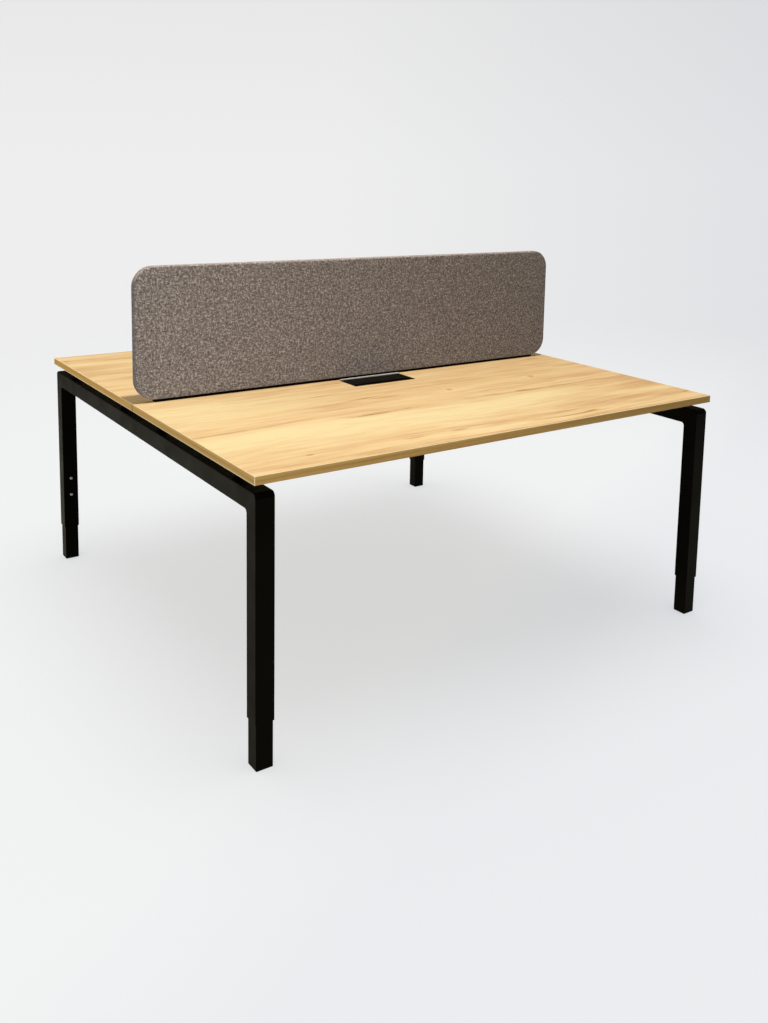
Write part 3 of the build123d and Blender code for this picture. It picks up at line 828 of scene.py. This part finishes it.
def moved(tree, geometry, place=(0.0, 0.0, 0.0), scale=(1.0, 1.0, 1.0)):
    values = {"Geometry": geometry, "Translation": place, "Scale": scale}
    return add(tree, "GeometryNodeTransform", values).outputs["Geometry"]


def vector(tree, x=0.0, y=0.0, z=0.0):
    return add(tree, "ShaderNodeCombineXYZ", {"X": x, "Y": y, "Z": z}).outputs["Vector"]


print("helpers for Geometry Nodes ready")

# %% [markdown]
# Two clamp screws on the inner face of each outer leg hold the telescopic leg at its height. They are small
# button heads with a hexagon socket. The tree starts with a ball, flattens it, keeps its upper half, takes
# a hexagonal prism out of the top and adds the shank. Points that the cuts leave on top of each other are
# merged, so the shell is closed. Each screw stops at its own angle, so a random value with a fixed seed
# turns it about its axis.

# %% Tree for a clamp screw
screw_inputs = {
    "Head Radius": "Float", "Head Height": "Float", "Socket Radius": "Float", "Socket Depth": "Float",
    "Shank Radius": "Float", "Shank Reach": "Float", "Seed": "Int", "Finish": "Material",
}
head_rim = 0.985
shank_overlap = 0.2
doubles_within = 0.00001
sharp_angle = math.radians(28)


def screw_shape(tree, size):
    ball = add(tree, "GeometryNodeMeshUVSphere", {"Segments": 40, "Rings": 20, "Radius": 1.0}).outputs["Mesh"]
    flat = vector(tree, size["Head Radius"], size["Head Radius"], size["Head Height"])
    dome = moved(tree, ball, scale=flat)
    inside = reckon(tree, "MULTIPLY", size["Head Radius"], head_rim)
    above = {"Vertices": 48, "Radius": inside, "Depth": size["Head Height"]}
    block = add(tree, "GeometryNodeMeshCylinder", above).outputs["Mesh"]
    half = reckon(tree, "MULTIPLY", size["Head Height"], 0.5)
    head = combined(tree, "INTERSECT", dome, moved(tree, block, vector(tree, z=half)))
    depth = reckon(tree, "MULTIPLY", size["Socket Depth"], 2.0)
    prism = {"Vertices": 6, "Radius": size["Socket Radius"], "Depth": depth}
    hexagon = add(tree, "GeometryNodeMeshCylinder", prism).outputs["Mesh"]
    head = combined(tree, "DIFFERENCE", head, moved(tree, hexagon, vector(tree, z=size["Head Height"])))
    length = reckon(tree, "MULTIPLY", size["Shank Reach"], 1.0 + shank_overlap)
    rod = {"Vertices": 24, "Radius": size["Shank Radius"], "Depth": length}
    shank = add(tree, "GeometryNodeMeshCylinder", rod).outputs["Mesh"]
    drop = reckon(tree, "MULTIPLY", size["Shank Reach"], (shank_overlap - 1.0) / 2)
    joined = combined(tree, "UNION", head, moved(tree, shank, vector(tree, z=drop)))
    merged = {"Geometry": joined, "Distance": doubles_within}
    return add(tree, "GeometryNodeMergeByDistance", merged).outputs["Geometry"]


def smooth_but_sharp(tree, mesh):
    mesh = add(tree, "GeometryNodeSetShadeSmooth", {"Geometry": mesh, "Shade Smooth": True}).outputs[0]
    angle = add(tree, "GeometryNodeInputMeshEdgeAngle").outputs["Unsigned Angle"]
    steep = reckon(tree, "GREATER_THAN", angle, sharp_angle)
    sharp = {"Geometry": mesh, "Selection": steep, "Shade Smooth": False}
    return add(tree, "GeometryNodeSetShadeSmooth", sharp, domain="EDGE").outputs[0]


def screw_tree():
    tree, size = start_tree("clamp_screw", screw_inputs)
    screw = smooth_but_sharp(tree, screw_shape(tree, size))
    facing = add(tree, "GeometryNodeInputNamedAttribute", {"Name": "facing"}, data_type="FLOAT_VECTOR")
    aligned = {"Vector": facing.outputs[0]}
    toward = add(tree, "FunctionNodeAlignRotationToVector", aligned, axis="Z").outputs["Rotation"]
    places = {"Points": size["Geometry"], "Instance": screw, "Rotation": toward}
    screws = add(tree, "GeometryNodeInstanceOnPoints", places).outputs["Instances"]
    angle = add(tree, "FunctionNodeRandomValue", {"Seed": size["Seed"]}, data_type="FLOAT")
    angle.inputs[3].default_value = math.radians(60)
    spin = {"Instances": screws, "Rotation": vector(tree, z=angle.outputs[1])}
    spun = add(tree, "GeometryNodeRotateInstances", spin)
    end_tree(tree, spun.outputs["Instances"], size["Finish"])
    return tree


clamp_screw_tree = screw_tree()
print("screw tree nodes", len(clamp_screw_tree.nodes))

# %% Set the clamp screws
screw_heights = (0.240, 0.300)
bush_flange = 0.0012
screw_sizes = {
    "Head Radius": 0.0052, "Head Height": 0.0032, "Socket Radius": 0.0022, "Socket Depth": 0.0018,
    "Shank Radius": 0.0030, "Shank Reach": 0.0036, "Seed": 4, "Finish": zinc,
}


def screw_seats():
    seats, ways = [], []
    for name in sorted(parts):
        if name.startswith("outer_leg"):
            low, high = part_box(name)
            way = 1.0 if low.y < 0.0 else -1.0
            face = high.y if way > 0.0 else low.y
            seats += [((low.x + high.x) / 2, face + way * bush_flange, height) for height in screw_heights]
            ways += [(0.0, way, 0.0)] * len(screw_heights)
    mesh = bpy.data.meshes.new("screw_seats")
    mesh.from_pydata(seats, [], [])
    mesh.attributes.new("facing", "FLOAT_VECTOR", "POINT").data.foreach_set("vector", np.array(ways).ravel())
    return mesh


screws = grown("clamp_button_screws", screw_seats(), clamp_screw_tree, screw_sizes)
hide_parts("clamp_screws")
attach(screws, "desk_frame")
print(screws.name, "faces", len(screws.data.polygons))

# %% [markdown]
# The two covers of the screen are sewn together along the seam in the middle of its edge. Seen from a step
# away the stitches are a dotted line. The tree takes the seam as a closed line, cuts it into equal steps
# and lays a small oblong stitch across it at each. A stitch has only a few dozen faces, because there
# are hundreds, and a random length with a fixed seed keeps them from looking stamped.

# %% Thread for the seam
def seam_thread():
    material, tree, shader = start_material("seam_thread")
    place = object_place(tree)
    twist = cloudy(tree, place, (700.0, 1800.0, 700.0), 2.0)
    colour = mixed(tree, twist, seen(36, 31, 28), seen(74, 65, 59))
    wear(tree, shader, colour, spread(tree, twist, 0.0, 1.0, 0.7, 0.9))
    raise_surface(tree, shader, twist, 0.3, 0.0003)
    return material


stitch_inputs = {
    "Spacing": "Float", "Length": "Float", "Thickness": "Float", "Seed": "Int", "Finish": "Material",
}


def stitch_tree():
    tree, size = start_tree("seam_stitch", stitch_inputs)
    seam = add(tree, "GeometryNodeMeshToCurve", {"Mesh": size["Geometry"]}).outputs["Curve"]
    steps = add(tree, "GeometryNodeResampleCurve", {"Curve": seam, "Length": size["Spacing"]}, mode="LENGTH")
    ball = add(tree, "GeometryNodeMeshUVSphere", {"Segments": 8, "Rings": 5, "Radius": 0.5}).outputs["Mesh"]
    stitch = moved(tree, ball, scale=vector(tree, size["Thickness"], size["Length"], size["Thickness"]))
    stitch = add(tree, "GeometryNodeSetShadeSmooth", {"Geometry": stitch}).outputs[0]
    length = add(tree, "FunctionNodeRandomValue", {"Seed": size["Seed"]}, data_type="FLOAT")
    length.inputs[2].default_value = 0.85
    length.inputs[3].default_value = 1.15
    tangent = add(tree, "GeometryNodeInputTangent").outputs["Tangent"]
    along = add(tree, "FunctionNodeAlignRotationToVector", {"Vector": tangent}, axis="X", pivot_axis="Y")
    places = {
        "Points": steps.outputs["Curve"], "Instance": stitch, "Rotation": along.outputs["Rotation"],
        "Scale": vector(tree, 1.0, length.outputs[1], 1.0),
    }
    stitches = add(tree, "GeometryNodeInstanceOnPoints", places).outputs["Instances"]
    end_tree(tree, stitches, size["Finish"])
    return tree


seam_tree = stitch_tree()
print("stitch tree nodes", len(seam_tree.nodes))

# %% Sew the seam
seam_depth = 0.0001
stitch_sizes = {"Spacing": 0.0065, "Length": 0.0042, "Thickness": 0.0009, "Seed": 11, "Finish": seam_thread()}


def seam_line():
    points = []
    for index in border:
        x, z = flat_places[index]
        out_x, out_z = outward(x, z)
        reach = edge_radius - seam_depth
        points.append((x + out_x * reach, 0.0, middle_height + z + out_z * reach))
    mesh = bpy.data.meshes.new("seam_line")
    mesh.from_pydata(points, [(k, (k + 1) % len(points)) for k in range(len(points))], [])
    return mesh


stitches = grown("screen_seam_stitches", seam_line(), seam_tree, stitch_sizes)
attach(stitches, "desk_frame")
print(stitches.name, "faces", len(stitches.data.polygons))

# %% [markdown]
# The stage is a plain pale floor and a bright room. The floor glows a little, so that the shadow under the
# desk stays faint. It is a touch bluer and darker towards the front, and far away it turns clear and lets
# the room's own colour through, so that no horizon shows. What the camera sees of the floor and the room
# is brighter than the light that they throw on the desk, as in a product picture, where the background is
# bright and black steel still stays black.

# %% Floor
floor_back = seen(200, 202, 204)
floor_front = seen(191, 194, 199)
toward_front = (0.5, -1.0, 0.0)
front_fade = (0.40, 0.90)
clear_fade = (2.2, 6.5)
floor_mirrored = seen(208, 202, 176)
floor_skin = (0.505, 0.525, 0.56, 1.0)
floor_radius = 9.0


def floor_finish():
    material = bpy.data.materials.new("pale_floor")
    material.use_nodes = True
    tree = material.node_tree
    tree.nodes.clear()
    place = object_place(tree)
    away = add(tree, "ShaderNodeVectorMath", {0: place}, operation="LENGTH").outputs["Value"]
    paths = add(tree, "ShaderNodeLightPath").outputs
    # In reflections the floor's glow is dimmed near the middle: painted shade of the desk on the floor.
    reflected_glow_painted_shade = spread(tree, away, 0.6, 1.5, 0.15, 1.1)
    otherwise = spread(tree, paths["Is Camera Ray"], 0.0, 1.0, 0.12, 1.0)
    strength = chosen(tree, paths["Is Glossy Ray"], otherwise, reflected_glow_painted_shade)
    nearer = add(tree, "ShaderNodeVectorMath", {0: place, 1: toward_front}, operation="DOT_PRODUCT")
    tone = mixed(tree, spread(tree, nearer.outputs["Value"], *front_fade), floor_back, floor_front)
    tone = mixed(tree, paths["Is Glossy Ray"], tone, floor_mirrored)
    glow = add(tree, "ShaderNodeEmission", {"Color": tone, "Strength": strength}).outputs[0]
    skin = add(tree, "ShaderNodeBsdfDiffuse", {"Color": floor_skin}).outputs[0]
    near = add(tree, "ShaderNodeAddShader", {0: glow, 1: skin}).outputs[0]
    clear = add(tree, "ShaderNodeBsdfTransparent").outputs[0]
    shown = add(tree, "ShaderNodeMixShader", {0: spread(tree, away, *clear_fade), 1: near, 2: clear})
    add(tree, "ShaderNodeOutputMaterial", {"Surface": shown.outputs[0]})
    return material


bpy.ops.mesh.primitive_circle_add(vertices=128, radius=floor_radius, fill_type="NGON")
floor = bpy.context.object
floor.name = "floor"
floor.data.materials.append(floor_finish())
print("floor radius", round(floor.dimensions.x / 2, 1), "m")

# %% Room
room_left = seen(238, 238, 238)
room_right = seen(224, 225, 228)


def room_light():
    world = bpy.data.worlds.new("room")
    scene.world = world
    world.use_nodes = True
    tree = world.node_tree
    tree.nodes.clear()
    way = add(tree, "ShaderNodeTexCoord").outputs["Generated"]
    height = split_place(tree, way)[2]
    sideways = add(tree, "ShaderNodeVectorMath", {0: way, 1: level}, operation="DOT_PRODUCT").outputs["Value"]
    shown = toned(tree, spread(tree, sideways, -0.1, 0.36), [(0.0, room_left), (1.0, room_right)])
    dimmer = spread(tree, height, 0.0, 0.2, 1.0, 0.93)
    grey = add(tree, "ShaderNodeCombineColor", {0: dimmer, 1: dimmer, 2: dimmer}).outputs[0]
    shown = mixed(tree, 1.0, shown, grey, "MULTIPLY")
    stops = [(0.0, seen(60, 58, 53)), (0.3, seen(110, 106, 97)), (1.0, seen(205, 199, 187))]
    light = toned(tree, spread(tree, height, 0.0, 1.0), stops)
    straight = add(tree, "ShaderNodeLightPath").outputs["Is Camera Ray"]
    sky = add(tree, "ShaderNodeBackground", {"Color": mixed(tree, straight, light, shown)})
    add(tree, "ShaderNodeOutputWorld", {"Surface": sky.outputs[0]})


room_light()
scene.view_settings.view_transform = "Standard"
print("room", scene.world.name, "shown with", scene.view_settings.view_transform)

# %% [markdown]
# A warm lamp high overhead, a little in front of the screen and to the left, makes the tops bright, leaves
# the uprights dark and throws the screen's narrow shadow on the rear top. Two low cool panels at the front
# left light the edging and the cloth, a warm window at the left shines on the faces that look that way, a
# panel behind serves the rear of the screen, and a lamp straight above it gives it a bright upper rim. A
# wide soft light high above gives the floor the desk's faint shadow. Light linking says what each reaches:
# the lamp overhead all but the floor, the window all but floor and cloth, the panels and the rim lamp only
# the edging or the cloth, and the wide light only the floor.

# %% Lamps
def lamp(name, place, target, size, power, colour):
    light = bpy.data.lights.new(name, "AREA")
    light.shape = "DISK"
    light.size = size
    light.energy = power
    light.color = colour
    made = bpy.data.objects.new(name, light)
    made.location = place
    made.rotation_euler = (Vector(target) - Vector(place)).to_track_quat("-Z", "Y").to_euler()
    made.visible_camera = False
    scene.collection.objects.link(made)
    return made


def link_lamps(lamps, pieces, state):
    receivers = bpy.data.collections.new("reached_by_" + lamps[0].name)
    for piece in pieces:
        receivers.objects.link(piece)
    for linked in receivers.collection_objects:
        linked.light_linking.link_state = state
    for light in lamps:
        light.light_linking.receiver_collection = receivers


overhead = lamp("overhead_lamp", (-0.3, -1.12, 6.0), (-0.3, -0.3, 0.7), 0.33, 232.0, (1.0, 0.95, 0.87))
edge_panel = lamp("edge_panel", (-1.0, -2.2, 0.8), (-0.3, -0.8, 0.72), 1.2, 11.0, (0.92, 0.97, 1.0))
cloth_panel = lamp("cloth_panel", (-1.5, -1.85, 1.1), (-0.3, 0.0, 0.93), 1.0, 54.0, (0.92, 0.96, 1.0))
rear_panel = lamp("rear_panel", (1.7, 1.9, 1.15), (0.1, 0.1, 0.85), 1.2, 40.0, (1.0, 0.98, 0.95))
rim_lamp = lamp("rim_lamp", (-0.2, 0.0, 4.0), (-0.2, 0.0, 1.1), 0.3, 200.0, (1.0, 0.97, 0.93))
window = lamp("left_window", (-3.2, 1.2, 1.45), (-0.6, 0.0, 0.8), 2.0, 36.0, (1.0, 0.95, 0.84))
floor_light = lamp("floor_light", (-0.1, -0.3, 8.0), (-0.1, -0.3, 0.0), 7.0, 180.0, (1.0, 0.98, 0.95))
cloth_pieces = [*pads.values(), stitches]
link_lamps([overhead], [floor], "EXCLUDE")
link_lamps([edge_panel], [parts["desktop_front_edging"], parts["desktop_rear_edging"]], "INCLUDE")
link_lamps([window], [floor, *cloth_pieces], "EXCLUDE")
link_lamps([cloth_panel, rear_panel, rim_lamp], cloth_pieces, "INCLUDE")
link_lamps([floor_light], [floor], "INCLUDE")
print("lamps", [light.name for light in bpy.data.lights])
